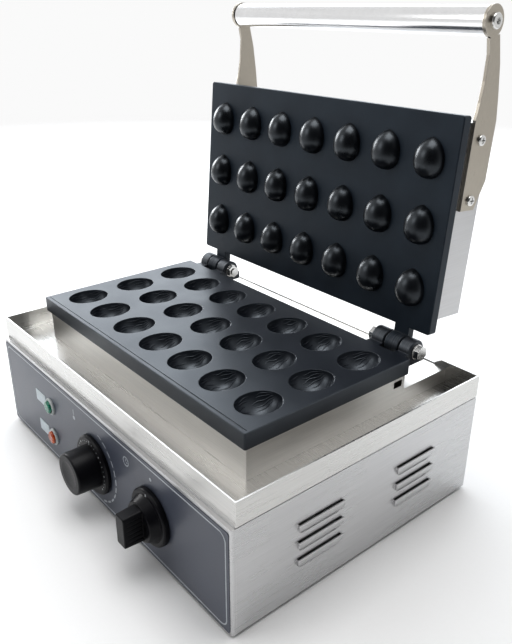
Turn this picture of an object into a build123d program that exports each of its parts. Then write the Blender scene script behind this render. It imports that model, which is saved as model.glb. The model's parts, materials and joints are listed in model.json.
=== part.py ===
from build123d import *
import math
import os

os.makedirs("parts", exist_ok=True)

# Electric walnut-cake mould maker, 21 places, all lengths in mm.
# Frame: X to the right, Y to the back, Z up; origin on the table under the middle of the body.

# ---- driving dimensions: body ----
W = 400.0
D = 282.0
FOOT_H = 3.0
Z0 = FOOT_H
Z1 = Z0 + 99.0
Z2 = Z0 + 121.5
SHEET = 1.2
PANEL_PROUD = 4.0
SEAM = 0.8
TRAY_FLOOR = Z1 + 2.0
RIM_T = 1.5
NOTCH_X0 = 151.0
NOTCH_X1 = 159.0
NOTCH_Z = Z0 + 116.0

# ---- driving dimensions: pedestal and lower plate ----
PED_X = 164.6
PED_Y0 = -103.0
PED_Y1 = 78.0
SHELF_Z = Z0 + 115.0
PLATE_X = 168.0
PLATE_Y0 = -107.0
PLATE_Y1 = 79.0
PLATE_TOP = Z0 + 146.0
PLATE_BOT = Z0 + 131.5
SLAB = 6.0
SKIRT = 5.0
PITCH_X = 46.8
PITCH_Y = 56.8
ROW_Y = -14.0
CAV_A = 17.3
CAV_B = 20.8
CUP_WALL = 3.5
BUMP_A = 14.6
BUMP_B = 17.5
LIFT = 1.0
NX = 7
NY = 3

# ---- driving dimensions: hinge and lid ----
HY = 98.5
HZ = Z0 + 143.6
LID_OPEN = 94.5
LID_GAP = 0.5
EYE_R = 10.5
STOP_Y = 12.5
STOP_IN = 9.9
EYE_CHAMFER = 1.0
BOLT_R = 4.0
RUN = 0.05
EAR_A = (113.5, 128.5)
KNUCKLE = (129.2, 145.3)
EAR_B = (146.0, 159.0)
LID_X = 167.5
LID_S0 = 17.5
LID_S1 = 206.0
LID_T = 9.0
COVER_X = 157.0
COVER_S0 = 25.0
COVER_S1 = 199.0
COVER_DEEP = 58.0
ARM_T = 3.0
TUBE_R = 11.5
TUBE_S = 277.0
TUBE_N = 29.5

# ---- driving dimensions: controls ----
PANEL_Y = -D / 2 - PANEL_PROUD
FILM_T = 0.5
FILM_Y = PANEL_Y - FILM_T
KNOB_T = (-3.0, Z0 + 43.0)
KNOB_M = (95.0, Z0 + 46.0)
LAMP_X = -93.0
LAMP_Z = (Z0 + 62.0, Z0 + 26.5)
SHAFT_R = 3.0
LOUVRE_Y = (-57.0, 57.0)
LOUVRE_Z = (Z0 + 70.5, Z0 + 53.5, Z0 + 36.5)


def block(x0, x1, y0, y1, z0, z1):
    size = Box(x1 - x0, y1 - y0, z1 - z0)
    return Pos((x0 + x1) / 2, (y0 + y1) / 2, (z0 + z1) / 2) * size


def rod_x(x0, x1, y, z, r):
    return Pos((x0 + x1) / 2, y, z) * Rot(0, 90, 0) * Cylinder(r, x1 - x0)


def rod_y(x, y0, y1, z, r):
    return Pos(x, (y0 + y1) / 2, z) * Rot(90, 0, 0) * Cylinder(r, y1 - y0)


def rod_z(x, y, z0, z1, r):
    return Pos(x, y, (z0 + z1) / 2) * Cylinder(r, z1 - z0)


def cone_y(x, y0, y1, z, r0, r1):
    return Pos(x, (y0 + y1) / 2, z) * Rot(-90, 0, 0) * Cone(r0, r1, y1 - y0)


def hex_x(x0, x1, y, z, flats):
    face = RegularPolygon(flats / 2, 6, major_radius=False)
    return Pos(x0, y, z) * Rot(0, 90, 0) * extrude(face, x1 - x0)


def round_slot_z(x, y, z0, z1, length, width):
    return Pos(x, y, z0) * extrude(SlotOverall(length, width), z1 - z0)


def plate_y(x0, x1, z0, z1, y0, y1, r):
    face = RectangleRounded(x1 - x0, z1 - z0, r)
    return Pos((x0 + x1) / 2, y1, (z0 + z1) / 2) * Rot(90, 0, 0) * extrude(face, y1 - y0)


def pipe(points, r, bend):
    path = FilletPolyline(*points, radius=bend)
    start = Plane(origin=path @ 0, z_dir=path % 0)
    return sweep(start * Circle(r), path=path)


def spheroid(x, y, z, a, b):
    # egg of half length b along Y and radius a across it
    ring = Polyline((-b, 0), (b, 0)) + EllipticalCenterArc((0, 0), b, a, start_angle=0, arc_size=180)
    solid = revolve(make_face(ring), Axis.X)
    return Pos(x, y, z) * Rot(0, 0, 90) * solid


def egg(x, y, z, a, b):
    # blunt at +Y and pointed at -Y
    wide = 0.15 * b
    tip = Bezier((-b, 0), (-0.85 * b, 0.58 * a), (wide - 0.6 * b, a), (wide, a))
    blunt = Bezier((wide, a), (wide + 0.5 * b, a), (b, 0.6 * a), (b, 0))
    solid = revolve(make_face(tip + blunt + Line((b, 0), (-b, 0))), Axis.X)
    return Pos(x, y, z) * Rot(0, 0, 90) * solid


def merge(items):
    first = items[0]
    return first + items[1:]


def save(name, items):
    pieces = items if isinstance(items, list) else [items]
    solids = []
    for piece in pieces:
        solids.extend(piece.solids())
    shape = solids[0] if len(solids) == 1 else Compound(children=solids)
    shape.label = name
    export_step(shape, "parts/" + name + ".step")


# cavity centres, front row first
CELLS = []
for j in range(NY):
    for i in range(NX):
        CELLS.append(((i - 3) * PITCH_X, ROW_Y + (j - 1) * PITCH_Y))

# ---------------------------------------------------------------- body shell
wall = block(-W / 2, W / 2, -D / 2, D / 2, Z0, Z1)
wall -= block(-W / 2 + SHEET, W / 2 - SHEET, -D / 2 - 1, D / 2 - SHEET, Z0 - 1, Z1 + 1)
LEDGE = 12.0
ledge = block(-W / 2 + SHEET, W / 2 - SHEET, -D / 2, D / 2 - SHEET, Z1 - 0.4, Z1 + SEAM)
ledge -= block(-W / 2 + LEDGE, W / 2 - LEDGE, -D / 2 + LEDGE, D / 2 - LEDGE, Z1 - 2, Z1 + 2)
shell = wall + ledge
for side in (-1, 1):
    x_in = W / 2 - SHEET
    lip_x = sorted((side * x_in, side * (x_in - 14)))
    shell += block(lip_x[0], lip_x[1], -D / 2, -D / 2 + SHEET, Z0 + 2, Z1 - 0.4)
    flange_x = sorted((side * x_in, side * (x_in - 10)))
    shell += block(flange_x[0], flange_x[1], -D / 2 + 14, D / 2 - SHEET, Z0 + 2.0, Z0 + 3.2)

# pressed louvres: a bulged hood with rounded lower corners, open along its upper edge
HOOD_H = 10.0
HOOD_OUT = 2.6
HOOD_SKIN = 1.3
HOOD_L = 50.0
HOOD_CORNER = 8.0
HOOD_R = (HOOD_H ** 2 + HOOD_OUT ** 2) / (2 * HOOD_OUT)


def hood(y, z, inset, x_in):
    outline = RectangleRounded(2 * (HOOD_H - inset), HOOD_L - 2 * inset, HOOD_CORNER - inset)
    pad = Pos(x_in, y, z) * Rot(0, 90, 0) * extrude(outline, W / 2 + 6 - x_in)
    pad &= rod_y(W / 2 + HOOD_OUT - HOOD_R, y - 40, y + 40, z, HOOD_R - inset)
    return pad & block(x_in - 1, W / 2 + 8, y - 40, y + 40, z - 14, z)


for y in LOUVRE_Y:
    for z in LOUVRE_Z:
        opening = hood(y, z, 0.0, W / 2 - SHEET - 2)
        skin = hood(y, z, 0.0, W / 2 - SHEET) - hood(y, z, HOOD_SKIN, W / 2 - SHEET - 1)
        shell -= opening
        shell -= mirror(opening, Plane.YZ)
        shell += skin
        shell += mirror(skin, Plane.YZ)

CORD_X = 120.0
CORD_Z = Z0 + 30.0
LEAD_X = -150.0
LEAD_Z = Z0 + 70.0
shell -= rod_y(CORD_X, D / 2 - 3, D / 2 + 1, CORD_Z, 8.0)
shell -= rod_y(LEAD_X, D / 2 - 3, D / 2 + 1, LEAD_Z, 6.0)
for x in (-60.0, -30.0, 0.0, 30.0, 60.0):
    shell -= plate_y(x - 2, x + 2, Z0 + 42, Z0 + 82, D / 2 - 3, D / 2 + 1, 1.9)
save("base_shell", shell)

# ---------------------------------------------------------------- bottom pan and feet
pan = block(-W / 2 + 1.6, W / 2 - 1.6, -D / 2 + 1.6, D / 2 - 1.6, Z0, Z0 + SHEET)
pan += block(-W / 2 + 16, W / 2 - 16, D / 2 - 1.6 - SHEET, D / 2 - 1.6, Z0, Z0 + 14)
pan += block(-W / 2 + 16, W / 2 - 16, -D / 2 + 1.6, -D / 2 + 1.6 + SHEET, Z0, Z0 + 14)
for sx in (-1, 1):
    for k in range(6):
        pan -= round_slot_z(sx * 95, -50 + 20 * k, Z0 - 1, Z0 + 3, 70, 4)
FEET = [(sx * 165.0, sy * 112.0) for sx in (-1, 1) for sy in (-1, 1)]
for x, y in FEET:
    pan -= rod_z(x, y, Z0 - 1, Z0 + 3, 3.2)
save("bottom_pan", pan)

feet = []
for x, y in FEET:
    foot = rod_z(x, y, 0, Z0, 9.0)
    foot += rod_z(x, y, Z0, Z0 + SHEET, 3.1)
    foot += rod_z(x, y, Z0 + SHEET, Z0 + SHEET + 3, 4.6)
    feet.append(chamfer(foot.edges().group_by(Axis.Z)[0], 1.0))
save("rubber_feet", feet)

# ---------------------------------------------------------------- front panel
panel = block(-W / 2, W / 2, PANEL_Y, -D / 2, Z0, Z1)
panel = fillet(panel.edges().filter_by(Axis.Z).group_by(Axis.Y)[0], 2.5)
core = block(-W / 2 + SHEET, W / 2 - SHEET, PANEL_Y + SHEET, -D / 2 + 1, Z0 + SHEET, Z1 - SHEET)
panel -= core
for x, z in (KNOB_T, KNOB_M):
    panel -= rod_y(x, PANEL_Y - 1, PANEL_Y + 3, z, 5.0)
for z in LAMP_Z:
    panel -= rod_y(LAMP_X, PANEL_Y - 1, PANEL_Y + 3, z, 6.2)
save("front_panel", panel)

film = plate_y(-W / 2 + 2.6, W / 2 - 2.6, Z0 + 0.8, Z1 - 3.6, FILM_Y, PANEL_Y, 2.5)
for x, z in (KNOB_T, KNOB_M):
    film -= rod_y(x, FILM_Y - 1, PANEL_Y + 1, z, 5.0)
for z in LAMP_Z:
    film -= rod_y(LAMP_X, FILM_Y - 1, PANEL_Y + 1, z, 6.2)
save("panel_film", film)

# printed border line, scale ticks, zero dot and two plain pictograms
INK = 0.12
INK_Y = FILM_Y - INK


def ink_bar(x, z, length, width, angle):
    bar = RectangleRounded(length, width, width * 0.45)
    return Pos(x, FILM_Y, z) * Rot(90, 0, 0) * Rot(0, 0, angle) * extrude(bar, INK)


outline = plate_y(-W / 2 + 5.6, W / 2 - 5.6, Z0 + 3.6, Z1 - 6.6, INK_Y, FILM_Y, 8.0)
outline -= plate_y(-W / 2 + 6.8, W / 2 - 6.8, Z0 + 4.8, Z1 - 7.8, INK_Y - 1, FILM_Y + 1, 6.8)
save("panel_border", outline)

marks = []
SCALE_R = 37.0
for k in range(11):
    # dashes along the arc that grow wider towards the hot end
    turn = 70.0 - 14.0 * k
    x = KNOB_T[0] + SCALE_R * math.cos(math.radians(turn))
    z = KNOB_T[1] + SCALE_R * math.sin(math.radians(turn))
    marks.append(ink_bar(x, z, 6.4, 0.7 + 0.14 * k, turn + 90))
marks.append(rod_y(KNOB_M[0], INK_Y, FILM_Y, KNOB_M[1] + 36.0, 1.6))
clock = rod_y(56.0, INK_Y, FILM_Y, Z0 + 78.0, 4.6) - rod_y(56.0, INK_Y - 1, FILM_Y + 1, Z0 + 78.0, 3.8)
marks.append(clock)
marks.append(ink_bar(56.0, Z0 + 79.3, 2.6, 0.8, 90))
marks.append(ink_bar(57.6, Z0 + 77.2, 2.2, 0.8, 0))
marks.append(rod_y(-40.0, INK_Y, FILM_Y, Z0 + 74.5, 2.2))
marks.append(ink_bar(-40.0, Z0 + 80.4, 6.0, 1.3, 90))
save("panel_marks", marks)

labels = []
for z in LAMP_Z:
    labels.append(plate_y(LAMP_X - 34, LAMP_X - 11.6, z - 6.5, z + 6.5, FILM_Y - 0.3, FILM_Y, 1.5))
save("lamp_labels", labels)

# ---------------------------------------------------------------- pilot lamps
LAMP_OUT = 5.0
bezels = []
bodies = []
for z in LAMP_Z:
    ring = rod_y(LAMP_X, FILM_Y - 2.4, FILM_Y, z, 8.8)
    ring = chamfer(ring.edges().group_by(Axis.Y)[0], 1.1)
    ring -= rod_y(LAMP_X, FILM_Y - 3, FILM_Y + 1, z, 6.9)
    bezels.append(ring)
    can = rod_y(LAMP_X, FILM_Y - 0.9, PANEL_Y + 26, z, 6.0)
    can -= rod_y(LAMP_X, FILM_Y - 1, FILM_Y + 14, z, 4.8)
    can += block(LAMP_X - 3, LAMP_X + 3, PANEL_Y + 26, PANEL_Y + 32, z - 0.4, z + 0.4)
    bodies.append(can)
save("lamp_bezels", bezels)
save("lamp_bodies", bodies)
for name, z in (("lamp_lens_green", LAMP_Z[0]), ("lamp_lens_amber", LAMP_Z[1])):
    lens = rod_y(LAMP_X, FILM_Y - LAMP_OUT, FILM_Y - 0.9, z, 6.8)
    lens = fillet(lens.edges().group_by(Axis.Y)[0], 2.4)
    save(name, lens)

# ---------------------------------------------------------------- temperature control
tx, tz = KNOB_T
stat = block(tx - 19, tx + 19, PANEL_Y + 6.0, PANEL_Y + 30, tz - 22, tz + 22)
stat += rod_y(tx, PANEL_Y + SHEET, PANEL_Y + 6.0, tz, 8.0)
stat += block(tx - 15, tx + 15, PANEL_Y + 30, PANEL_Y + 38, tz - 15, tz - 5)
stat -= rod_y(tx, PANEL_Y - 1, PANEL_Y + 20, tz, SHAFT_R + RUN)
save("thermostat", stat)

BULB_Y = -98.4
BULB_Z = PLATE_BOT + 5.0
route = [(50, BULB_Y, BULB_Z), (70.2, BULB_Y, BULB_Z), (70.2, -92, BULB_Z), (70.2, -92, 92)]
route += [(tx, -92, 92), (tx, -92, tz + 8), (tx, PANEL_Y + 30, tz + 8)]
line = pipe(route, 0.9, 2.8)
bulb = rod_x(-40, 50, BULB_Y, BULB_Z, 2.6)
save("capillary_bulb", line + bulb)

# ---------------------------------------------------------------- timer
mx, mz = KNOB_M
timer = rod_y(mx, PANEL_Y + 4.0, PANEL_Y + 34, mz, 24.0)
timer += rod_y(mx, PANEL_Y + SHEET, PANEL_Y + 4.0, mz, 7.0)
timer += block(mx - 20, mx + 20, PANEL_Y + 34, PANEL_Y + 46, mz - 14, mz + 14)
timer -= rod_y(mx, PANEL_Y - 1, PANEL_Y + 20, mz, SHAFT_R + RUN)
save("timer", timer)

# ---------------------------------------------------------------- control shafts and knobs
KNOB_GAP = 0.5
for name, (x, z) in (("temperature_shaft", KNOB_T), ("timer_shaft", KNOB_M)):
    shaft = rod_y(x, FILM_Y - 16, PANEL_Y + 17, z, SHAFT_R)
    shaft -= block(x - 4, x + 4, FILM_Y - 17, FILM_Y - 6, z + 2.0, z + 4)
    save(name, shaft)


def shaft_socket(x, z, depth):
    hole = rod_y(x, FILM_Y - 16, FILM_Y + 1, z, SHAFT_R)
    hole -= block(x - 4, x + 4, FILM_Y - 17, FILM_Y - 6, z + 2.0, z + 4)
    return hole & block(x - 5, x + 5, FILM_Y - depth, FILM_Y + 1, z - 5, z + 5)


DIAL_R = 29.0
BARREL_R = 20.5
BARREL_L = 27.0
y_dial = FILM_Y - KNOB_GAP
dial = rod_y(tx, y_dial - 4.2, y_dial, tz, DIAL_R)
dial = chamfer(dial.edges().group_by(Axis.Y)[0], 1.6)
barrel = cone_y(tx, FILM_Y - BARREL_L, y_dial - 4.2, tz, BARREL_R - 0.6, BARREL_R)
barrel = fillet(barrel.edges().group_by(Axis.Y)[0], 1.8)
DISH_R = 90.0
DISH_DEEP = 1.0
barrel -= Pos(tx, FILM_Y - BARREL_L - DISH_R + DISH_DEEP, tz) * Sphere(DISH_R)
knob = dial + barrel
knob -= rod_y(tx, y_dial - 2.6, y_dial + 1, tz, DIAL_R - 4)
knob += rod_y(tx, y_dial - 3, y_dial, tz, 8.0)
knob -= shaft_socket(tx, tz, 16.0)
save("temperature_knob", knob)

dots = []
for k in range(25):
    a = math.radians(-40 + 260 * k / 24)
    x = tx + 24.3 * math.cos(a)
    z = tz + 24.3 * math.sin(a)
    dots.append(rod_y(x, y_dial - 4.35, y_dial - 4.2, z, 0.9 if k % 4 == 0 else 0.55))
dots.append(block(tx - 0.6, tx + 0.6, y_dial - 4.35, y_dial - 4.2, tz + 22.5, tz + 26.5))
save("temperature_dial_marks", dots)

FLANGE_R = 26.0
y_fl = FILM_Y - KNOB_GAP
flange = rod_y(mx, y_fl - 5.0, y_fl, mz, FLANGE_R)
flange = fillet(flange.edges().group_by(Axis.Y)[0], 2.0)
collar = cone_y(mx, y_fl - 13.0, y_fl - 5.0, mz, 17.5, 21.5)
collar = fillet(collar.edges().group_by(Axis.Y)[0], 1.4)
GRIP_L = 30.0
grip_face = RectangleRounded(14.5, 31.0, 3.0)
grip = Pos(mx, y_fl - 12.0, mz) * Rot(90, 0, 0) * extrude(grip_face, GRIP_L - 12.0, taper=3)
grip = fillet(grip.edges().group_by(Axis.Y)[0], 1.0)
turn = flange + collar + grip
for k in range(6):
    dz = -10.0 + 4.0 * k
    for side in (-1, 1):
        turn -= rod_y(mx + side * 7.3, y_fl - GRIP_L + 2.0, y_fl - 13.4, mz + dz, 0.95)
turn -= rod_y(mx, y_fl - 3.0, y_fl + 1, mz, FLANGE_R - 3.5)
turn += rod_y(mx, y_fl - 3.2, y_fl, mz, 8.0)
turn -= shaft_socket(mx, mz, 16.0)
save("timer_knob", turn)
pointer = block(mx - 0.7, mx + 0.7, y_fl - 5.15, y_fl - 5.0, mz + 21.8, mz + 23.8)
save("timer_pointer", pointer)

# ---------------------------------------------------------------- drip tray
TRAY_Z = Z1 + SEAM
tray = block(-W / 2, W / 2, -D / 2, D / 2, TRAY_Z, Z2)
tray -= block(-W / 2 + RIM_T, W / 2 - RIM_T, -D / 2 + RIM_T, D / 2 - RIM_T, TRAY_FLOOR, Z2 + 1)
tray -= block(-158, 158, PED_Y0 + 6, PED_Y1 - 3, TRAY_Z - 1, TRAY_FLOOR + 1)
notch = Polyline(
    (-NOTCH_X1, Z2 + 1), (NOTCH_X1, Z2 + 1), (NOTCH_X1, Z2), (NOTCH_X0, NOTCH_Z),
    (-NOTCH_X0, NOTCH_Z), (-NOTCH_X1, Z2), close=True)
tray -= Pos(0, D / 2 + 1, 0) * extrude(Plane.XZ * make_face(notch), 4)
save("drip_tray", tray)

# ---------------------------------------------------------------- pedestal
ped = block(-PED_X, PED_X, PED_Y0, PED_Y1, TRAY_FLOOR, PLATE_BOT)
ped -= block(-PED_X + SHEET, PED_X - SHEET, PED_Y0 + SHEET, PED_Y1 - SHEET, TRAY_FLOOR - 1, PLATE_BOT - SHEET)
ped -= block(-PED_X + 8, PED_X - 8, PED_Y0 + 8, PED_Y1 - 5, PLATE_BOT - 3, PLATE_BOT + 1)
y_back = D / 2 - RIM_T
shelf = block(-PED_X, PED_X, PED_Y1 - 1, y_back, TRAY_FLOOR, SHELF_Z)
shelf -= block(-PED_X + SHEET, PED_X - SHEET, PED_Y1 - 2, y_back - SHEET, TRAY_FLOOR - 1, SHELF_Z - SHEET)
ped += shelf
ped -= block(-PED_X + SHEET, PED_X - SHEET, PED_Y1 - 2, PED_Y1 + 0.5, TRAY_FLOOR - 1, SHELF_Z - SHEET)
for side in (-1, 1):
    vent = sorted((side * (PED_X - 3), side * (PED_X + 1)))
    ped -= block(vent[0], vent[1], 64.0, 74.5, Z0 + 119.5, Z0 + 126.0)
save("pedestal", ped)

# ---------------------------------------------------------------- heat shield and insulation
shield = block(-PED_X + 1.6, PED_X - 1.6, PED_Y0 + 1.6, PED_Y1 - 1.6, TRAY_FLOOR, TRAY_FLOOR + 1.0)
for side in (-1, 1):
    shield -= rod_z(side * 152, -42.4, TRAY_FLOOR - 1, TRAY_FLOOR + 2, 3.5)
    shield -= rod_z(side * 152, 14.4, TRAY_FLOOR - 1, TRAY_FLOOR + 2, 3.5)
shield -= rod_z(70.2, -92, TRAY_FLOOR - 1, TRAY_FLOOR + 2, 3.0)
save("heat_shield", shield)
wool = block(-145, 145, -86, PED_Y1 - 4, TRAY_FLOOR + 1.0, TRAY_FLOOR + 17)
save("insulation_lower", wool)

# ---------------------------------------------------------------- lower plate
plate = block(-PLATE_X, PLATE_X, PLATE_Y0, PLATE_Y1, PLATE_BOT, PLATE_TOP)
plate = fillet(plate.edges().filter_by(Axis.Z), 1.5)
plate = chamfer(plate.edges().group_by(Axis.Z)[-1], 0.6)
pocket_x = PLATE_X - SKIRT
plate -= block(-pocket_x, pocket_x, PLATE_Y0 + SKIRT, PLATE_Y1 - SKIRT, PLATE_BOT - 1, PLATE_TOP - SLAB)
below = block(-PLATE_X, PLATE_X, PLATE_Y0, PLATE_Y1, PLATE_BOT - 30, PLATE_TOP - 1)
cups = [spheroid(x, y, PLATE_TOP + LIFT, CAV_A + CUP_WALL, CAV_B + CUP_WALL) & below for x, y in CELLS]
plate += cups
hollows = [spheroid(x, y, PLATE_TOP + LIFT, CAV_A, CAV_B) for x, y in CELLS]
plate -= hollows
seams = []
for x, y in CELLS:
    z = PLATE_TOP + LIFT - CAV_A + 0.35
    bead = rod_y(x, y - 6.5, y + 6.5, z, 0.9)
    bead += Pos(x, y - 6.5, z) * Sphere(0.9)
    bead += Pos(x, y + 6.5, z) * Sphere(0.9)
    seams.append(bead)
plate += seams
plate -= block(-PLATE_X + 3, PLATE_X - 3, PLATE_Y0 + 3.6, PLATE_Y0 + 4.4, PLATE_TOP - 0.5, PLATE_TOP + 1)


def eye_rod(x0, x1):
    eye = rod_x(x0, x1, HY, HZ, EYE_R)
    return chamfer(eye.edges().filter_by(GeomType.CIRCLE), EYE_CHAMFER)


def ear(x0, x1):
    leg = block(x0, x1, PLATE_Y1 - 2, HY + STOP_Y, PLATE_BOT, HZ - 4.0)
    leg += block(x0, x1, PLATE_Y1 - 2, HY + EYE_R - 0.5, HZ - 5.0, HZ)
    leg = fillet(leg.edges().filter_by(Axis.X).group_by(Axis.Z)[0].sort_by(Axis.Y)[-1], 2.0)
    solid = leg + eye_rod(x0, x1)
    return solid - rod_x(x0 - 1, x1 + 1, HY, HZ, BOLT_R + RUN)


lugs = ear(EAR_A[0], EAR_A[1]) + ear(EAR_B[0], EAR_B[1])
lugs += block(EAR_A[1] - 1, EAR_B[0] + 1, HY + STOP_IN, HY + STOP_Y, PLATE_BOT, HZ - 4.6)
plate += lugs
plate += mirror(lugs, Plane.YZ)
save("lower_plate", plate)

# ---------------------------------------------------------------- lower heating elements
ROD_Z = PLATE_TOP - SLAB - 3.3
rods = []
pins = []
for y in (ROW_Y - PITCH_Y / 2, ROW_Y + PITCH_Y / 2):
    rod = rod_x(-155, 155, y, ROD_Z, 3.25)
    rods.append(rod)
    for side in (-1, 1):
        pin = rod_z(side * 152, y, TRAY_FLOOR - 8, ROD_Z - 3.0, 1.6)
        pins.append(pin)
        pins.append(rod_z(side * 152, y, PLATE_BOT - 8, ROD_Z - 3.3, 2.6))
save("heating_elements_lower", merge(rods + pins))

clamps = []
for y in (ROW_Y - PITCH_Y / 2, ROW_Y + PITCH_Y / 2):
    for x in (-PITCH_X * 1.5, PITCH_X * 1.5):
        strap = block(x - 5, x + 5, y - 3.6, y + 3.6, ROD_Z - 4.8, ROD_Z - 3.4)
        strap += block(x - 5, x + 5, y + 3.4, y + 4.0, ROD_Z - 4.8, PLATE_TOP - SLAB)
        strap += block(x - 5, x + 5, y - 4.0, y - 3.4, ROD_Z - 4.8, PLATE_TOP - SLAB)
        clamps.append(strap)
save("element_clamps_lower", clamps)

# ---------------------------------------------------------------- hinge bolts and nuts
HEAD_X = EAR_B[1]
bolts = []
nuts = []
for side in (-1, 1):
    bolt = rod_x(EAR_A[0] - 7.5, HEAD_X + 1.5, HY, HZ, BOLT_R)
    bolt += hex_x(HEAD_X + 1.2, HEAD_X + 6.5, HY, HZ, 12.0)
    bolt += rod_x(HEAD_X + 0.1, HEAD_X + 1.2, HY, HZ, 7.2)
    nut = hex_x(EAR_A[0] - 6.0, EAR_A[0] - 0.8, HY, HZ, 12.0)
    nut += rod_x(EAR_A[0] - 0.8, EAR_A[0], HY, HZ, 7.2)
    nut -= rod_x(EAR_A[0] - 9, EAR_A[0] + 1, HY, HZ, BOLT_R)
    if side < 0:
        bolt = mirror(bolt, Plane.YZ)
        nut = mirror(nut, Plane.YZ)
    bolts.append(bolt)
    nuts.append(nut)
save("hinge_bolts", bolts)
save("hinge_nuts", nuts)

# ---------------------------------------------------------------- wiring inside the body
strip = block(90, 138, 104, 122, Z0 + SHEET, Z0 + 20)
for k in range(4):
    strip -= rod_z(97 + 11.5 * k, 113, Z0 + 14, Z0 + 21, 2.6)
save("terminal_block", strip)
screws = []
for k in range(4):
    screw = rod_z(97 + 11.5 * k, 113, Z0 + 14, Z0 + 18, 2.4)
    screw -= block(97 + 11.5 * k - 3, 97 + 11.5 * k + 3, 112.6, 113.4, Z0 + 17.2, Z0 + 19)
    screws.append(screw)
save("terminal_screws", screws)
WIRE = 1.4
zt = Z0 + 8.0
wires = []
to_timer = [(97, 104, zt), (97, 60, zt), (mx, 60, zt), (mx, 60, mz), (mx, PANEL_Y + 46, mz)]
wires.append(pipe(to_timer, WIRE, 1.9))
to_stat = [(108.5, 104, zt), (108.5, 88, zt), (20, 88, zt), (20, 88, 30)]
to_stat += [(tx, 88, 30), (tx, PANEL_Y + 38, 30)]
wires.append(pipe(to_stat, WIRE, 6))
to_left_rod = [(120, 104, zt), (120, 96, zt), (-70, 96, zt), (-70, 96, 90)]
to_left_rod += [(-152, 14.4, 90), (-152, 14.4, TRAY_FLOOR - 8)]
wires.append(pipe(to_left_rod, WIRE, 4))
to_right_rod = [(131.5, 104, zt), (131.5, 96, zt), (152, 96, zt), (152, 96, 80)]
to_right_rod += [(152, 14.4, 80), (152, 14.4, TRAY_FLOOR - 8)]
wires.append(pipe(to_right_rod, WIRE, 4))
wires.append(rod_y(-152, -40.8, 12.8, TRAY_FLOOR - 6, WIRE))
wires.append(rod_y(152, -40.8, 12.8, TRAY_FLOOR - 6, WIRE))
for z in LAMP_Z:
    to_lamp = [(LAMP_X, PANEL_Y + 32, z), (LAMP_X, -96, z), (-60, -96, z)]
    to_lamp += [(-60, PANEL_Y + 20, z), (tx - 19, PANEL_Y + 20, z)]
    wires.append(pipe(to_lamp, WIRE, 3))
save("wiring", wires)

inlet = rod_y(CORD_X, D / 2 - 10, D / 2 - SHEET, CORD_Z, 11.5)
inlet += rod_y(CORD_X, D / 2 - SHEET, D / 2, CORD_Z, 7.9)
inlet += rod_y(CORD_X, D / 2, D / 2 + 7, CORD_Z, 11.0)
inlet = fillet(inlet.edges().group_by(Axis.Y)[-1], 1.5)
inlet -= rod_y(CORD_X, D / 2 - 12, D / 2 + 9, CORD_Z, 4.2)
save("cord_inlet", inlet)
grommet = rod_y(LEAD_X, D / 2 - 4, D / 2 - SHEET, LEAD_Z, 8.0)
grommet += rod_y(LEAD_X, D / 2 - SHEET, D / 2, LEAD_Z, 5.9)
grommet += rod_y(LEAD_X, D / 2, D / 2 + 3, LEAD_Z, 8.0)
grommet -= rod_y(LEAD_X, D / 2 - 6, D / 2 + 5, LEAD_Z, 3.4)
save("lead_grommet_base", grommet)

# ---------------------------------------------------------------- lid, drawn closed then swung open
# s runs from the hinge to the front, n runs down from the hinge axis
FACE_Z = PLATE_TOP + LID_GAP


def lid_block(x0, x1, s0, s1, up0, up1):
    return block(x0, x1, HY - s1, HY - s0, FACE_Z + up0, FACE_Z + up1)


def swing(shape):
    return shape.rotate(Axis((0, HY, HZ), (1, 0, 0)), -LID_OPEN)


def swing_all(items):
    return [swing(item) for item in items]


upper = lid_block(-LID_X, LID_X, LID_S0, LID_S1, 0, LID_T)
upper = fillet(upper.edges().filter_by(Axis.Z), 2.5)
upper = chamfer(upper.edges().group_by(Axis.Z)[0], 0.6)
for side in (-1, 1):
    x0, x1 = sorted((side * KNUCKLE[0], side * KNUCKLE[1]))
    neck = block(x0, x1, HY - LID_S0 - 2, HY, HZ + 1, FACE_Z + LID_T)
    neck -= block(x0 - 1, x1 + 1, HY - LID_S0 - 3, HY - EYE_R + 0.5, HZ - 1, FACE_Z)
    eye = eye_rod(x0, x1)
    neck = (neck & block(x0 - 1, x1 + 1, HY - 30, HY + 4, HZ, HZ + EYE_R)) + eye
    upper += neck
    upper -= rod_x(x0 - 1, x1 + 1, HY, HZ, BOLT_R + RUN)
upper = swing(upper)
for side in (-1, 1):
    x0, x1 = sorted((side * KNUCKLE[0], side * KNUCKLE[1]))
    upper += block(x0, x1, HY + 6.0, HY + STOP_Y, HZ - 4.3, HZ + 1.0)
save("upper_plate", upper)

below_lid = block(-LID_X, LID_X, PLATE_Y0, HY, FACE_Z - 30, FACE_Z)
bumps = [egg(x, y, FACE_Z + LIFT, BUMP_A, BUMP_B) & below_lid for x, y in CELLS]
save("mould_bumps", swing_all(bumps))

cover = lid_block(-COVER_X, COVER_X, COVER_S0, COVER_S1, LID_T, COVER_DEEP)
cover = fillet(cover.edges().group_by(Axis.Z)[-1], 2.0)
in_x = COVER_X - SHEET
cover -= lid_block(-in_x, in_x, COVER_S0 + SHEET, COVER_S1 - SHEET, LID_T - 1, COVER_DEEP - SHEET)
GROM_S = 45.0
GROM_X = -120.0
cover -= rod_z(GROM_X, HY - GROM_S, FACE_Z + COVER_DEEP - 3, FACE_Z + COVER_DEEP + 1, 6.0)
ARM_SCREWS = ((185.0, 39.0), (134.0, 38.0))
for s, n in ARM_SCREWS:
    cover -= rod_x(-COVER_X - 1, -COVER_X + 2, HY - s, FACE_Z + n, 2.55)
    cover -= rod_x(COVER_X - 2, COVER_X + 1, HY - s, FACE_Z + n, 2.55)
save("lid_cover", swing(cover))

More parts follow.
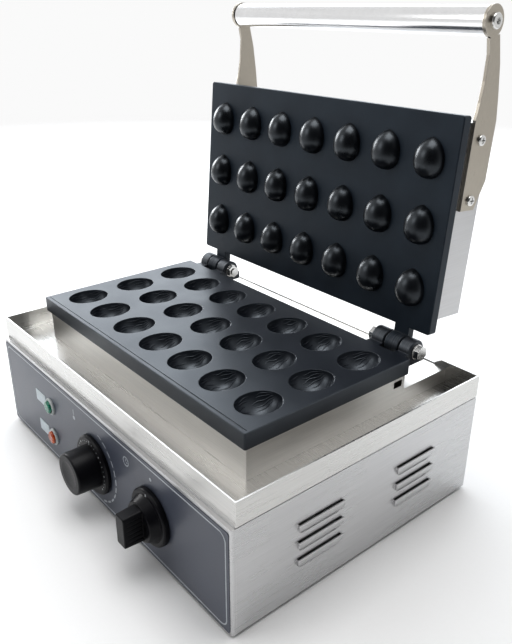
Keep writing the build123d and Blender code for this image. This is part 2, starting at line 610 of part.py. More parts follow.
arm_pts = [(125, 27), (201, 27), (215, 29.5), (232, 31), (252, 30.5), (264, 27)]
arm_pts += [(268, 40), (246, 47.5), (220, 53.5), (201, 57), (150, 57), (125, 46)]
arm_face = make_face(Polyline(*[(HY - s, FACE_Z + n) for s, n in arm_pts], close=True))
for name, side in (("handle_arm_right", 1), ("handle_arm_left", -1)):
    x0 = side * COVER_X
    x1 = side * (COVER_X + ARM_T)
    lo, hi = min(x0, x1), max(x0, x1)
    arm = Pos(lo, 0, 0) * extrude(Plane.YZ * arm_face, ARM_T)
    arm += rod_x(lo, hi, HY - TUBE_S, FACE_Z + TUBE_N, TUBE_R + 1.0)
    arm -= rod_x(lo - 1, hi + 1, HY - TUBE_S, FACE_Z + TUBE_N, 3.1)
    for s, n in ARM_SCREWS:
        arm -= rod_x(lo - 1, hi + 1, HY - s, FACE_Z + n, 2.55)
    save(name, swing(arm))

tube = rod_x(-COVER_X + 0.2, COVER_X - 0.2, HY - TUBE_S, FACE_Z + TUBE_N, TUBE_R)
tube -= rod_x(-COVER_X - 1, COVER_X + 1, HY - TUBE_S, FACE_Z + TUBE_N, TUBE_R - 1.5)
save("handle_tube", swing(tube))

plugs = []
caps = []
for side in (-1, 1):
    a, b = sorted((side * (COVER_X - 22), side * COVER_X))
    plug = rod_x(a, b, HY - TUBE_S, FACE_Z + TUBE_N, TUBE_R - 1.5)
    c, d = sorted((side * (COVER_X - 16), side * (COVER_X + 1)))
    plug -= rod_x(c, d, HY - TUBE_S, FACE_Z + TUBE_N, 3.0)
    plugs.append(plug)
    e, f = sorted((side * (COVER_X - 12), side * (COVER_X + ARM_T)))
    screw = rod_x(e, f, HY - TUBE_S, FACE_Z + TUBE_N, 3.0)
    g, h = sorted((side * (COVER_X + ARM_T), side * (COVER_X + ARM_T + 3.4)))
    head = rod_x(g, h, HY - TUBE_S, FACE_Z + TUBE_N, 6.4)
    rim = head.edges().filter_by(GeomType.CIRCLE).sort_by(Axis.X)
    head = fillet(rim[-1] if side > 0 else rim[0], 1.6)
    k0 = side * (COVER_X + ARM_T + 1.2)
    key = hex_x(k0 if side > 0 else k0 - 4, k0 + 4 if side > 0 else k0, HY - TUBE_S, FACE_Z + TUBE_N, 5.0)
    caps.append(screw + head - key)
save("handle_end_plugs", swing_all(plugs))
save("handle_screws", swing_all(caps))

arm_screws = []
for side in (-1, 1):
    for s, n in ARM_SCREWS:
        a, b = sorted((side * (COVER_X - 6), side * (COVER_X + ARM_T)))
        screw = rod_x(a, b, HY - s, FACE_Z + n, 2.5)
        c, d = sorted((side * (COVER_X + ARM_T), side * (COVER_X + ARM_T + 2.6)))
        head = rod_x(c, d, HY - s, FACE_Z + n, 4.8)
        rim = head.edges().filter_by(GeomType.CIRCLE).sort_by(Axis.X)
        head = fillet(rim[-1] if side > 0 else rim[0], 1.8)
        k0 = side * (COVER_X + ARM_T + 1.0)
        slot_lo, slot_hi = (k0, k0 + 3) if side > 0 else (k0 - 3, k0)
        cross = block(slot_lo, slot_hi, HY - s - 2.6, HY - s + 2.6, FACE_Z + n - 0.5, FACE_Z + n + 0.5)
        cross += block(slot_lo, slot_hi, HY - s - 0.5, HY - s + 0.5, FACE_Z + n - 2.6, FACE_Z + n + 2.6)
        nut_lo, nut_hi = sorted((side * (COVER_X - 5.2), side * (COVER_X - SHEET)))
        nut = hex_x(nut_lo, nut_hi, HY - s, FACE_Z + n, 8.0)
        arm_screws.append(screw + head - cross + nut)
save("arm_screws", swing_all(arm_screws))

ROD_UP = LID_T + 3.6
lane = [(-130, 14.4), (130, 14.4), (130, -42.4), (-130, -42.4)]
loop = [(x, y, FACE_Z + ROD_UP) for x, y in lane]
heater = pipe(loop, 3.25, 12)
for y in (14.4, -42.4):
    heater += rod_x(-146, -129.9, y, FACE_Z + ROD_UP, 1.6)
save("heating_element_upper", swing(heater))

clamp_items = []
for x in (-70.2, 70.2):
    bar = lid_block(x - 6, x + 6, HY - 30, HY + 58, ROD_UP + 3.3, ROD_UP + 4.8)
    for y in (-14.0, 30.0):
        bar += rod_z(x, y, FACE_Z + LID_T, FACE_Z + ROD_UP + 3.4, 2.5)
        bar += rod_z(x, y, FACE_Z + ROD_UP + 4.7, FACE_Z + ROD_UP + 7.5, 4.0)
    clamp_items.append(bar)
save("element_clamps_upper", swing_all(clamp_items))

wool_up = lid_block(-COVER_X + 9, COVER_X - 9, COVER_S0 + 3, COVER_S1 - 3, ROD_UP + 8.5, COVER_DEEP - 8)
wool_up -= rod_z(GROM_X, HY - GROM_S, FACE_Z + 10, FACE_Z + COVER_DEEP, 10)
save("insulation_upper", swing(wool_up))

gz = FACE_Z + COVER_DEEP
lid_grommet = rod_z(GROM_X, HY - GROM_S, gz - 4, gz - SHEET, 8.0)
lid_grommet += rod_z(GROM_X, HY - GROM_S, gz - SHEET, gz, 5.9)
lid_grommet += rod_z(GROM_X, HY - GROM_S, gz, gz + 3, 8.0)
lid_grommet -= rod_z(GROM_X, HY - GROM_S, gz - 6, gz + 5, 3.4)
save("lead_grommet_lid", swing(lid_grommet))
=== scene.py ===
import json
import math
import random

import bpy
from mathutils import Matrix, Vector


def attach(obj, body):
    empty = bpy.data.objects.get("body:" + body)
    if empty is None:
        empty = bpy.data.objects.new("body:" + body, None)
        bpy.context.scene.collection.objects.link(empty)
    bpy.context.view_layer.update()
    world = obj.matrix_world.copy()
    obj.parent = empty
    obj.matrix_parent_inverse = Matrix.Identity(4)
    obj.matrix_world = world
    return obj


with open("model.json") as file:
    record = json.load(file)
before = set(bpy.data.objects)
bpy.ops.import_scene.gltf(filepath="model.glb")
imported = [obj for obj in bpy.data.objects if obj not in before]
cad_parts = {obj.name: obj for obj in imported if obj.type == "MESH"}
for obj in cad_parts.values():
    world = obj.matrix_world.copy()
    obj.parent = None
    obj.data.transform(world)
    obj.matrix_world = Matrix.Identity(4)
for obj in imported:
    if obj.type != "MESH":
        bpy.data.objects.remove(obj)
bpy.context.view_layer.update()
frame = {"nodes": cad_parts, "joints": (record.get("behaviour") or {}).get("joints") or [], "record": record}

nodes = frame["nodes"]


# ---------------------------------------------------------------- node tree helpers
RANGE_SOCKETS = ("From Min", "From Max", "To Min", "To Max")
NOISE_LOW = 0.3
NOISE_HIGH = 0.7


class Surface:
    """A Principled material with short calls for the nodes that drive it."""

    def __init__(self, name, color, rough, metal=0.0, **constants):
        self.mat = bpy.data.materials.new(name)
        self.mat.use_nodes = True
        self.tree = self.mat.node_tree
        self.tree.nodes.clear()
        out = self.add("ShaderNodeOutputMaterial")
        self.shader = self.add("ShaderNodeBsdfPrincipled")
        self.link(self.shader.outputs["BSDF"], out.inputs["Surface"])
        self.shader.inputs["Base Color"].default_value = (*color, 1.0)
        self.shader.inputs["Roughness"].default_value = rough
        self.shader.inputs["Metallic"].default_value = metal
        for socket, value in constants.items():
            self.shader.inputs[socket.replace("_", " ")].default_value = value
        self.coords = self.add("ShaderNodeTexCoord").outputs["Object"]

    def add(self, kind, **settings):
        node = self.tree.nodes.new(kind)
        for key, value in settings.items():
            setattr(node, key, value)
        return node

    def link(self, source, target):
        self.tree.links.new(source, target)

    def stretched(self, scale):
        mapping = self.add("ShaderNodeMapping")
        mapping.inputs["Scale"].default_value = scale
        self.link(self.coords, mapping.inputs["Vector"])
        return mapping.outputs["Vector"]

    def noise(self, scale, detail=3.0, rough=0.5):
        """Noise with features about 1/scale metres across; scale may be a vector for grain."""
        node = self.add("ShaderNodeTexNoise")
        vector = scale if isinstance(scale, tuple) else (scale, scale, scale)
        self.link(self.stretched(vector), node.inputs["Vector"])
        node.inputs["Scale"].default_value = 1.0
        node.inputs["Detail"].default_value = detail
        node.inputs["Roughness"].default_value = rough
        return node.outputs["Fac"]

    def sideways(self):
        """1 on faces that look along X, 0 on the others, in the part's own frame."""
        split = self.add("ShaderNodeSeparateXYZ")
        self.link(self.add("ShaderNodeTexCoord").outputs["Normal"], split.inputs["Vector"])
        tilt = self.math("ABSOLUTE", split.outputs["X"], 0.0)
        return self.ranged(tilt, 0.6, 0.8, 0.0, 1.0)

    def brushed(self, along, across):
        """Grain along X, turned along Y on the faces that look along X."""
        front = self.noise((along, across, across), detail=2.0)
        side = self.noise((across, along, across), detail=2.0)
        blend = self.add("ShaderNodeMix", data_type="FLOAT")
        self.link(self.sideways(), blend.inputs[0])
        self.link(front, blend.inputs[2])
        self.link(side, blend.inputs[3])
        return blend.outputs[0]

    def cells(self, scale):
        node = self.add("ShaderNodeTexVoronoi", feature="F1")
        self.link(self.stretched((scale, scale, scale)), node.inputs["Vector"])
        node.inputs["Scale"].default_value = 1.0
        return node.outputs["Distance"]

    def ranged(self, value, low_in, high_in, low_out, high_out):
        node = self.add("ShaderNodeMapRange")
        self.link(value, node.inputs["Value"])
        for name, number in zip(RANGE_SOCKETS, (low_in, high_in, low_out, high_out)):
            node.inputs[name].default_value = number
        return node.outputs["Result"]

    def spread(self, noise, low_out, high_out):
        """Noise stretched from the range it mostly fills to low_out and high_out."""
        return self.ranged(noise, NOISE_LOW, NOISE_HIGH, low_out, high_out)

    def math(self, operation, a, b):
        node = self.add("ShaderNodeMath", operation=operation)
        for socket, value in zip(node.inputs, (a, b)):
            if isinstance(value, float):
                socket.default_value = value
            else:
                self.link(value, socket)
        return node.outputs["Value"]

    def mixed(self, factor, a, b):
        node = self.add("ShaderNodeMix", data_type="RGBA")
        self.link(factor, node.inputs["Factor"])
        for name, value in zip(("A", "B"), (a, b)):
            socket = [s for s in node.inputs if s.name == name and s.type == "RGBA"][0]
            if isinstance(value, tuple):
                socket.default_value = (*value, 1.0)
            else:
                self.link(value, socket)
        return [s for s in node.outputs if s.type == "RGBA"][0]

    def edges(self, radius):
        """About 1 along convex and concave edges within radius metres, 0 on flats."""
        bevel = self.add("ShaderNodeBevel", samples=4)
        bevel.inputs["Radius"].default_value = radius
        geometry = self.add("ShaderNodeNewGeometry")
        dot = self.add("ShaderNodeVectorMath", operation="DOT_PRODUCT")
        self.link(bevel.outputs["Normal"], dot.inputs[0])
        self.link(geometry.outputs["Normal"], dot.inputs[1])
        return self.ranged(dot.outputs["Value"], 0.995, 0.80, 0.0, 1.0)

    def drive(self, socket, value):
        self.link(value, self.shader.inputs[socket])

    def relief(self, layers, soft_edge=0.0):
        """Bump from (height, metres deep) layers, over normals rounded at the edges by soft_edge metres."""
        normal = None
        if soft_edge:
            bevel = self.add("ShaderNodeBevel", samples=4)
            bevel.inputs["Radius"].default_value = soft_edge
            normal = bevel.outputs["Normal"]
        for height, depth in layers:
            bump = self.add("ShaderNodeBump")
            bump.inputs["Strength"].default_value = 1.0
            bump.inputs["Distance"].default_value = depth
            self.link(height, bump.inputs["Height"])
            if normal:
                self.link(normal, bump.inputs["Normal"])
            normal = bump.outputs["Normal"]
        self.drive("Normal", normal)

    def on(self, *names):
        for name in names:
            piece = nodes[name]
            piece.data.materials.clear()
            piece.data.materials.append(self.mat)


# ---------------------------------------------------------------- materials
def brushed_steel(name, color, rough, along=20.0, across=1300.0, streak=0.09):
    """Rolled and brushed stainless sheet: fine grain, broader bands, faint smudges, and a painted highlight
    that lightens the edges.
    """
    steel = Surface(name, color, rough, metal=1.0)
    fine = steel.brushed(along, across)
    broad = steel.brushed(0.3 * along, 0.16 * across)
    smudge = steel.noise(9.0, detail=4.0, rough=0.6)
    grain = steel.math("ADD", steel.math("MULTIPLY", fine, 0.65), steel.math("MULTIPLY", broad, 0.35))
    painted_edge_highlight = steel.edges(0.0007)
    dull = tuple(c * 0.92 for c in color)
    bright = tuple(min(c * 1.05, 1.0) for c in color)
    tone = steel.mixed(steel.spread(grain, 0.0, 1.0), dull, bright)
    # painted highlight: the edges are mixed towards pale grey
    tone = steel.mixed(steel.math("MULTIPLY", painted_edge_highlight, 0.35), tone, (0.88, 0.88, 0.88))
    steel.drive("Base Color", tone)
    uneven = steel.spread(smudge, rough - 0.04, rough + 0.05)
    streaked = steel.spread(grain, -streak / 2, streak / 2)
    steel.drive("Roughness", steel.math("ADD", uneven, streaked))
    steel.relief([(fine, 0.000007), (steel.noise(5.0, detail=1.0), 0.0004)], soft_edge=0.0006)
    return steel


brushed_steel("stainless_body", (0.585, 0.585, 0.59), 0.28).on("base_shell", "front_panel")
brushed_steel("stainless_tray", (0.67, 0.665, 0.65), 0.28).on("drip_tray")
# painted light: the pedestal's steel is a lighter copy of the body's steel
brushed_steel("stainless_pedestal_painted_light", (0.78, 0.76, 0.73), 0.36).on("pedestal")
brushed_steel("stainless_cover", (0.56, 0.56, 0.565), 0.36).on("lid_cover")
# painted shade: the arms' steel is a darker, warm-tinted copy of the body's steel
brushed_steel("stainless_arm_painted_shade", (0.46, 0.425, 0.37), 0.34, along=1300.0, across=1300.0).on(
    "handle_arm_left", "handle_arm_right"
)
brushed_steel("plain_pan", (0.58, 0.58, 0.57), 0.42).on("bottom_pan")


def polished_steel(name, color, rough, grain):
    steel = Surface(name, color, rough, metal=1.0)
    fine = steel.noise(grain, detail=2.0)
    spots = steel.noise(60.0, detail=4.0, rough=0.7)
    dull = tuple(c * 0.93 for c in color)
    steel.drive("Base Color", steel.mixed(steel.ranged(spots, 0.35, 0.7, 0.0, 1.0), color, dull))
    rubbed = steel.math("ADD", steel.spread(fine, -0.03, 0.05), steel.spread(spots, rough, rough + 0.05))
    steel.drive("Roughness", rubbed)
    steel.relief([(fine, 0.000006)], soft_edge=0.0004)
    return steel


polished_steel("polished_tube", (0.90, 0.90, 0.905), 0.13, (14.0, 900.0, 900.0)).on("handle_tube")
polished_steel("turned_aluminium", (0.72, 0.72, 0.73), 0.24, (900.0, 1200.0, 1200.0)).on("handle_end_plugs")
polished_steel("bright_steel", (0.76, 0.76, 0.75), 0.20, (500.0, 500.0, 500.0)).on(
    "hinge_bolts", "hinge_nuts", "handle_screws", "arm_screws"
)


def zinc_plate(name, color):
    """Dull passivated zinc with its faint cloudy spangle."""
    zinc = Surface(name, color, 0.45, metal=1.0)
    cloud = zinc.noise(70.0, detail=5.0, rough=0.65)
    zinc.drive("Base Color", zinc.mixed(zinc.spread(cloud, 0.0, 1.0), color, (0.62, 0.60, 0.52)))
    zinc.drive("Roughness", zinc.spread(cloud, 0.36, 0.56))
    zinc.relief([(zinc.noise(900.0), 0.00002)], soft_edge=0.0004)
    return zinc


zinc_plate("zinc_steel", (0.55, 0.56, 0.57)).on(
    "thermostat",
    "temperature_shaft",
    "timer_shaft",
    "heat_shield",
    "element_clamps_lower",
    "element_clamps_upper",
)


hinge = [j for j in frame["joints"] if j["name"] == "lid_hinge"][0]["pos_m"]
KNUCKLE_REACH = 0.0120
KNUCKLE_FADE = 0.0012


def nonstick(name, dark, light, rough, gloss):
    """Sprayed non-stick coat on cast aluminium: orange peel, faint mottle, bare metal where it rubs, and
    knuckle rings that are partly a painted highlight.
    """
    coat = Surface(name, dark, rough, Specular_IOR_Level=gloss, Specular_Tint=(0.84, 0.92, 1.0, 1.0))
    mottle = coat.noise(28.0, detail=4.0, rough=0.55)
    speck = coat.noise(1700.0, detail=1.0)
    patchy = coat.ranged(coat.noise(90.0, detail=4.0), 0.42, 0.66, 0.0, 0.55)
    wear = coat.math("MULTIPLY", coat.edges(0.0009), patchy)
    tone = coat.mixed(coat.spread(mottle, 0.0, 1.0), dark, light)
    tone = coat.mixed(coat.ranged(speck, 0.66, 0.82, 0.0, 0.35), tone, (0.04, 0.042, 0.048))
    tone = coat.mixed(wear, tone, (0.10, 0.10, 0.105))
    # the turning knuckles are rubbed round and round: lighter, metallic rings of worn coat, partly a painted
    # highlight
    around = coat.add("ShaderNodeVectorMath", operation="MULTIPLY")
    shifted = coat.add("ShaderNodeVectorMath", operation="SUBTRACT")
    coat.link(coat.coords, shifted.inputs[0])
    shifted.inputs[1].default_value = hinge
    coat.link(shifted.outputs["Vector"], around.inputs[0])
    around.inputs[1].default_value = (0.0, 1.0, 1.0)
    radius = coat.add("ShaderNodeVectorMath", operation="LENGTH")
    coat.link(around.outputs["Vector"], radius.inputs[0])
    knuckle_core = KNUCKLE_REACH - KNUCKLE_FADE
    on_knuckle = coat.ranged(radius.outputs["Value"], KNUCKLE_REACH, knuckle_core, 0.0, 1.0)
    # partly painted highlight: lighter metallic rings around the hinge axis
    rubbed_rings_and_highlight = coat.ranged(coat.noise((1400.0, 60.0, 60.0), detail=3.0), 0.46, 0.66, 0.05, 0.55)
    rubbed = coat.math("MULTIPLY", on_knuckle, rubbed_rings_and_highlight)
    coat.drive("Base Color", coat.mixed(rubbed, tone, (0.12, 0.12, 0.125)))
    coat.drive("Metallic", coat.math("MULTIPLY", rubbed, 0.6))
    uneven = coat.spread(mottle, rough - 0.04, rough + 0.05)
    coat.drive("Roughness", coat.math("ADD", uneven, coat.spread(speck, -0.02, 0.03)))
    coat.relief(
        [(coat.noise(650.0, detail=1.0), 0.00002), (coat.noise(22.0, detail=1.0), 0.0002)], soft_edge=0.0008
    )
    return coat


lower_coat = nonstick("nonstick_lower", (0.0065, 0.0085, 0.0135), (0.010, 0.0125, 0.019), 0.38, 1.0)
lower_coat.on("lower_plate")
# painted light: the lid's coat is a lighter, bluer copy of the lower plate's coat
nonstick("nonstick_upper_painted_light", (0.011, 0.017, 0.026), (0.018, 0.027, 0.039), 0.38, 0.35).on("upper_plate")
# painted shade: the bumps' coat is a darker copy of the same non-stick coat
nonstick("nonstick_bumps_painted_shade", (0.002, 0.0025, 0.004), (0.003, 0.0035, 0.0055), 0.30, 0.75).on("mould_bumps")


def satin_film(name, color):
    """Screen printed polyester film: fine matt tooth under a thin satin coat."""
    film = Surface(name, color, 0.34, Specular_IOR_Level=0.5, Coat_Weight=0.15, Coat_Roughness=0.20)
    tooth = film.noise(2400.0, detail=1.0)
    cloud = film.noise(14.0, detail=3.0)
    pale = tuple(c * 1.18 for c in color)
    film.drive("Base Color", film.mixed(film.spread(cloud, 0.0, 1.0), color, pale))
    satin = film.math("ADD", film.spread(cloud, 0.31, 0.38), film.spread(tooth, -0.03, 0.03))
    film.drive("Roughness", satin)
    film.relief([(tooth, 0.000008), (cloud, 0.0002)], soft_edge=0.0002)
    return film


satin_film("slate_film", (0.066, 0.075, 0.100)).on("panel_film")


def printed_ink(name, color, rough=0.5):
    ink = Surface(name, color, rough)
    mesh_dots = ink.noise(1500.0, detail=1.0)
    thin = ink.noise(120.0, detail=4.0)
    worn = tuple(c * 0.72 for c in color)
    ink.drive("Base Color", ink.mixed(ink.ranged(thin, 0.35, 0.7, 0.0, 0.6), color, worn))
    ink.drive("Roughness", ink.spread(mesh_dots, rough - 0.08, rough + 0.08))
    ink.relief([(mesh_dots, 0.00001)])
    return ink


printed_ink("pale_ink", (0.50, 0.53, 0.56)).on("panel_border", "panel_marks")
printed_ink("dial_ink", (0.62, 0.64, 0.66)).on("temperature_dial_marks", "timer_pointer")
printed_ink("pale_label", (0.55, 0.62, 0.66), 0.38).on("lamp_labels")


def moulded(name, color, rough, grain=900.0, depth=0.00002, wear=(0.16, 0.16, 0.165), gloss=0.5):
    """Injection moulded plastic: spark-eroded texture, slight polish on handled edges."""
    plastic = Surface(name, color, rough, Specular_IOR_Level=gloss)
    texture = plastic.noise(grain, detail=2.0)
    haze = plastic.noise(35.0, detail=4.0)
    rub = plastic.math("MULTIPLY", plastic.edges(0.0006), plastic.ranged(haze, 0.4, 0.7, 0.1, 0.5))
    hazy = tuple(min(c * 1.25, 1.0) for c in color)
    tone = plastic.mixed(plastic.spread(haze, 0.0, 1.0), color, hazy)
    plastic.drive("Base Color", plastic.mixed(rub, tone, wear))
    eroded = plastic.spread(texture, rough - 0.05, rough + 0.05)
    plastic.drive("Roughness", plastic.math("ADD", eroded, plastic.spread(haze, -0.04, 0.04)))
    plastic.relief([(texture, depth)], soft_edge=0.0006)
    return plastic


moulded("knob_black", (0.005, 0.005, 0.007), 0.36, wear=(0.03, 0.03, 0.033), gloss=0.22).on(
    "temperature_knob", "timer_knob"
)
moulded("lamp_bezel", (0.44, 0.47, 0.47), 0.40).on("lamp_bezels")
moulded("ivory_plastic", (0.70, 0.68, 0.62), 0.45, wear=(0.78, 0.76, 0.70)).on("lamp_bodies", "timer")
moulded("black_plastic", (0.016, 0.016, 0.017), 0.45).on(
    "cord_inlet", "lead_grommet_base", "lead_grommet_lid"
)
foot_rubber = moulded(
    "foot_rubber", (0.020, 0.020, 0.021), 0.78, grain=420.0, depth=0.00008, wear=(0.05, 0.05, 0.05)
)
foot_rubber.on("rubber_feet")
moulded("white_ceramic", (0.80, 0.77, 0.71), 0.32, grain=300.0, wear=(0.84, 0.82, 0.78)).on("terminal_block")


def lamp_lens(name, color, painted_glow):
    """Tinted clear plastic with the fine prisms that a pilot lamp lens has."""
    lens = Surface(name, color, 0.16, Transmission_Weight=0.35, IOR=1.49, Coat_Weight=0.4, Coat_Roughness=0.06)
    prisms = lens.cells(620.0)
    # painted glow: each prism cell is brighter at its centre
    lens.drive("Base Color", lens.mixed(lens.ranged(prisms, 0.0, 0.7, 0.0, 1.0), painted_glow, color))
    lens.drive("Roughness", lens.spread(lens.noise(240.0), 0.10, 0.24))
    lens.relief([(prisms, 0.00030)], soft_edge=0.0004)
    return lens


lamp_lens("green_lens", (0.004, 0.17, 0.10), (0.06, 0.55, 0.36)).on("lamp_lens_green")
lamp_lens("amber_lens", (0.52, 0.06, 0.012), (0.95, 0.28, 0.08)).on("lamp_lens_amber")


def warm_metal(name, color, tarnish, rough):
    metal = Surface(name, color, rough, metal=1.0)
    patina = metal.noise(110.0, detail=6.0, rough=0.65)
    metal.drive("Base Color", metal.mixed(metal.ranged(patina, 0.35, 0.72, 0.0, 1.0), color, tarnish))
    metal.drive("Roughness", metal.spread(patina, rough - 0.06, rough + 0.16))
    metal.relief([(metal.noise(700.0), 0.00002)], soft_edge=0.0003)
    return metal


warm_metal("bare_copper", (0.74, 0.38, 0.24), (0.42, 0.20, 0.12), 0.28).on("capillary_bulb")
warm_metal("brass", (0.74, 0.56, 0.26), (0.46, 0.33, 0.15), 0.26).on("terminal_screws")
warm_metal("element_sheath", (0.16, 0.165, 0.16), (0.10, 0.085, 0.06), 0.46).on(
    "heating_elements_lower", "heating_element_upper"
)


def fibrous(name, color, dark, grain, depth):
    """Loose or braided mineral fibre."""
    fibre = Surface(name, color, 0.92, Sheen_Weight=0.25, Sheen_Roughness=0.5)
    strands = fibre.noise(grain, detail=6.0, rough=0.7)
    tufts = fibre.cells(140.0)
    fibre.drive("Base Color", fibre.mixed(fibre.spread(strands, 0.0, 1.0), dark, color))
    fibre.drive("Roughness", fibre.spread(strands, 0.85, 1.0))
    fibre.relief([(strands, depth), (tufts, depth)])
    return fibre


fibrous("mineral_wool", (0.62, 0.57, 0.38), (0.40, 0.35, 0.20), (300.0, 900.0, 300.0), 0.0006).on(
    "insulation_lower", "insulation_upper"
)
fibrous("wire_sleeve", (0.70, 0.66, 0.57), (0.42, 0.39, 0.33), (1500.0, 1500.0, 1500.0), 0.00012).on("wiring")


# ---------------------------------------------------------------- walnut ridges in the moulds
CAVITY_ACROSS = 0.0173
CAVITY_ALONG = 0.0208
RIDGE_WIDE = 0.0008
RIDGE_HIGH = 0.0005
RIDGE_SUNK = 0.0002
RIDGE_STEPS = 22
RIDGE_LEVELS = (24, 38, 51, 63, 74)
WAVES = 9.0
HALF_GAP = 0.05
SECTION = 7


def cavity_point(turn, roll):
    """A point and inward normal on the mould wall: turn runs from the rear pole, roll from the bottom."""
    across = math.sin(turn)
    point = Vector((
        CAVITY_ACROSS * across * math.sin(roll),
        CAVITY_ALONG * math.cos(turn),
        -CAVITY_ACROSS * across * math.cos(roll),
    ))
    outward = Vector((point.x / CAVITY_ACROSS**2, point.y / CAVITY_ALONG**2, point.z / CAVITY_ACROSS**2))
    return point, -outward.normalized()


def ridge(verts, faces, at, start, stop, roll, wave, phase):
    """One closed rib with tapered ends that follows the mould wall."""
    line = []
    for k in range(RIDGE_STEPS + 1):
        share = k / RIDGE_STEPS
        turn = start + (stop - start) * share
        line.append((share, *cavity_point(turn, roll + wave * math.sin(phase + WAVES * turn))))
    first = len(verts)
    for k, (share, point, normal) in enumerate(line):
        before = line[max(k - 1, 0)][1]
        after = line[min(k + 1, RIDGE_STEPS)][1]
        side = (after - before).cross(normal).normalized()
        swell = max(math.sin(math.pi * share), 0.02) ** 0.5
        for m in range(SECTION):
            spin = 2.0 * math.pi * m / SECTION
            rise = RIDGE_HIGH * swell * math.sin(spin) - RIDGE_SUNK
            verts.append(at + point + side * (RIDGE_WIDE * swell * math.cos(spin)) + normal * rise)
    for k in range(RIDGE_STEPS):
        for m in range(SECTION):
            a = first + k * SECTION + m
            b = first + k * SECTION + (m + 1) % SECTION
            faces.append((a, b, b + SECTION, a + SECTION))
    faces.append(tuple(first + m for m in reversed(range(SECTION))))
    faces.append(tuple(first + RIDGE_STEPS * SECTION + m for m in range(SECTION)))


def mould_ridges():
    draw = random.Random(11)
    verts = []
    faces = []
    for opening in frame["record"]["physics"]["openings"]:
        if not opening["name"].startswith("mould_cavity"):
            continue
        low, high = (Vector(corner) for corner in opening["box_m"])
        at = Vector(((low.x + high.x) / 2, (low.y + high.y) / 2, high.z))
        for side in (-1, 1):
            for level in RIDGE_LEVELS:
                roll = math.radians(side * (level + draw.uniform(-2.0, 2.0)))
                wave = math.radians(draw.uniform(1.5, 3.5))
                start = math.radians(draw.uniform(14, 26))
                stop = math.radians(draw.uniform(120, 158))
                split = start + (stop - start) * draw.uniform(0.4, 0.6)
                phase = draw.uniform(0.0, 6.0)
                ridge(verts, faces, at, start, split - HALF_GAP, roll, wave, phase)
                ridge(verts, faces, at, split + HALF_GAP, stop, roll, wave, phase)
    mesh = bpy.data.meshes.new("mould_ridges")
    mesh.from_pydata([tuple(v) for v in verts], [], faces)
    mesh.polygons.foreach_set("use_smooth", [True] * len(mesh.polygons))
    mesh.validate()
    piece = bpy.data.objects.new("mould_ridges", mesh)
    bpy.context.scene.collection.objects.link(piece)
    mesh.materials.append(lower_coat.mat)
    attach(piece, "base")


mould_ridges()


# ---------------------------------------------------------------- studio
def pale_floor():
    """A paper floor under the part that fades out towards its rim, which softens the horizon."""
    solid_to = 0.9
    rim = 2.4
    steps = 64
    mesh = bpy.data.meshes.new("studio_floor")
    turn = [2.0 * math.pi * k / steps for k in range(steps)]
    mesh.from_pydata([(rim * math.cos(a), rim * math.sin(a), 0.0) for a in turn], [], [tuple(range(steps))])
    floor = bpy.data.objects.new("studio_floor", mesh)
    bpy.context.scene.collection.objects.link(floor)
    paper = Surface("studio_paper", (0.88, 0.88, 0.88), 0.7)
    tooth = paper.noise(300.0, detail=3.0)
    paper.drive("Base Color", paper.mixed(tooth, (0.87, 0.87, 0.87), (0.89, 0.89, 0.89)))
    paper.relief([(tooth, 0.00005)])
    reach = paper.add("ShaderNodeVectorMath", operation="LENGTH")
    paper.link(paper.coords, reach.inputs[0])
    paper.drive("Alpha", paper.ranged(reach.outputs["Value"], solid_to, rim, 1.0, 0.0))
    mesh.materials.append(paper.mat)


def softbox(name, at, aim, width, height, radiance, tint=(1.0, 1.0, 1.0)):
    data = bpy.data.lights.new(name, "AREA")
    data.shape = "RECTANGLE"
    data.size = width
    data.size_y = height
    data.energy = radiance * math.pi * width * height
    data.color = tint
    lamp = bpy.data.objects.new(name, data)
    lamp.location = at
    lamp.rotation_euler = (Vector(aim) - Vector(at)).to_track_quat("-Z", "Y").to_euler()
    lamp.visible_camera = False
    bpy.context.scene.collection.objects.link(lamp)


ROOM_FADE = (0.35, 0.9)


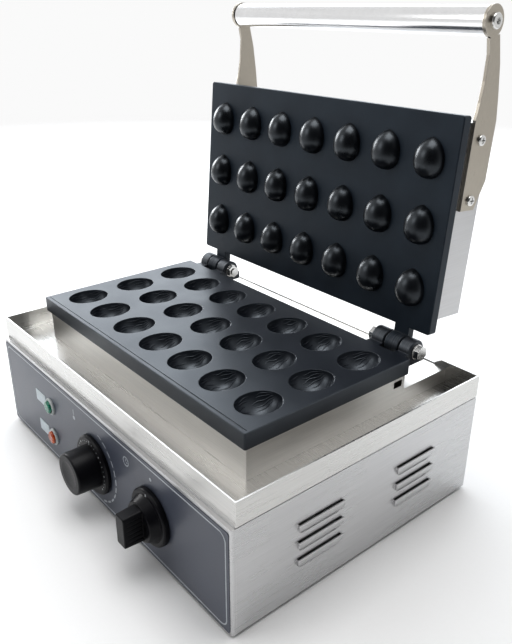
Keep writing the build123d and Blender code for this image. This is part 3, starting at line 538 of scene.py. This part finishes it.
def studio_world(dark_side, bright, dim, seen):
    """Even room light that fades towards dark_side; the camera sees a plain pale background instead."""
    world = bpy.data.worlds.new("studio")
    world.use_nodes = True
    tree = world.node_tree
    room = tree.nodes["Background"]
    room.inputs["Color"].default_value = (1.0, 1.0, 1.0, 1.0)
    backdrop = tree.nodes.new("ShaderNodeBackground")
    backdrop.inputs["Color"].default_value = (seen, seen, seen, 1.0)
    along = tree.nodes.new("ShaderNodeVectorMath")
    along.operation = "DOT_PRODUCT"
    along.inputs[1].default_value = Vector(dark_side).normalized()
    tree.links.new(tree.nodes.new("ShaderNodeTexCoord").outputs["Generated"], along.inputs[0])
    level = tree.nodes.new("ShaderNodeMapRange")
    level.interpolation_type = "SMOOTHSTEP"
    for socket, value in zip(RANGE_SOCKETS, (*ROOM_FADE, bright, dim)):
        level.inputs[socket].default_value = value
    tree.links.new(along.outputs["Value"], level.inputs["Value"])
    tree.links.new(level.outputs["Result"], room.inputs["Strength"])
    pick = tree.nodes.new("ShaderNodeMixShader")
    tree.links.new(tree.nodes.new("ShaderNodeLightPath").outputs["Is Camera Ray"], pick.inputs[0])
    tree.links.new(room.outputs[0], pick.inputs[1])
    tree.links.new(backdrop.outputs[0], pick.inputs[2])
    tree.links.new(pick.outputs[0], tree.nodes["World Output"].inputs["Surface"])
    bpy.context.scene.world = world


pale_floor()
studio_world(dark_side=(0.62, -0.68, 0.40), bright=0.67, dim=0.06, seen=0.80)
middle = (0.0, 0.0, 0.15)
softbox("back_left", (-1.50, 1.25, 0.95), middle, 3.0, 1.9, radiance=1.7, tint=(0.88, 0.94, 1.0))
softbox("left", (-1.90, 0.00, 0.72), middle, 0.7, 0.7, radiance=9.0)
softbox("front_left", (-0.9, -1.9, 1.4), middle, 1.0, 1.0, radiance=2.0)
softbox("top", (0.1, 0.0, 2.2), middle, 1.4, 1.4, radiance=2.9)


# ---------------------------------------------------------------- camera
CAMERA_AZIMUTH = math.radians(50.26)
CAMERA_ELEVATION = math.radians(24.36)
CAMERA_ROLL = math.radians(0.21)
CAMERA_DISTANCE = 0.697
CAMERA_TARGET = Vector((0.0147, 0.0306, 0.1447))
CAMERA_LENS = 39.37


def studio_camera():
    data = bpy.data.cameras.new("camera")
    data.lens = CAMERA_LENS
    data.sensor_width = 36.0
    data.clip_start = 0.02
    camera = bpy.data.objects.new("camera", data)
    level = math.cos(CAMERA_ELEVATION)
    back = Vector((
        math.sin(CAMERA_AZIMUTH) * level,
        -math.cos(CAMERA_AZIMUTH) * level,
        math.sin(CAMERA_ELEVATION),
    ))
    turn = back.to_track_quat("Z", "Y").to_matrix() @ Matrix.Rotation(CAMERA_ROLL, 3, "Z")
    camera.rotation_euler = turn.to_euler()
    camera.location = CAMERA_TARGET + back * CAMERA_DISTANCE
    bpy.context.scene.collection.objects.link(camera)
    bpy.context.scene.camera = camera


studio_camera()
bpy.context.scene.view_settings.view_transform = "Standard"
bpy.context.scene.view_settings.look = "Medium High Contrast"
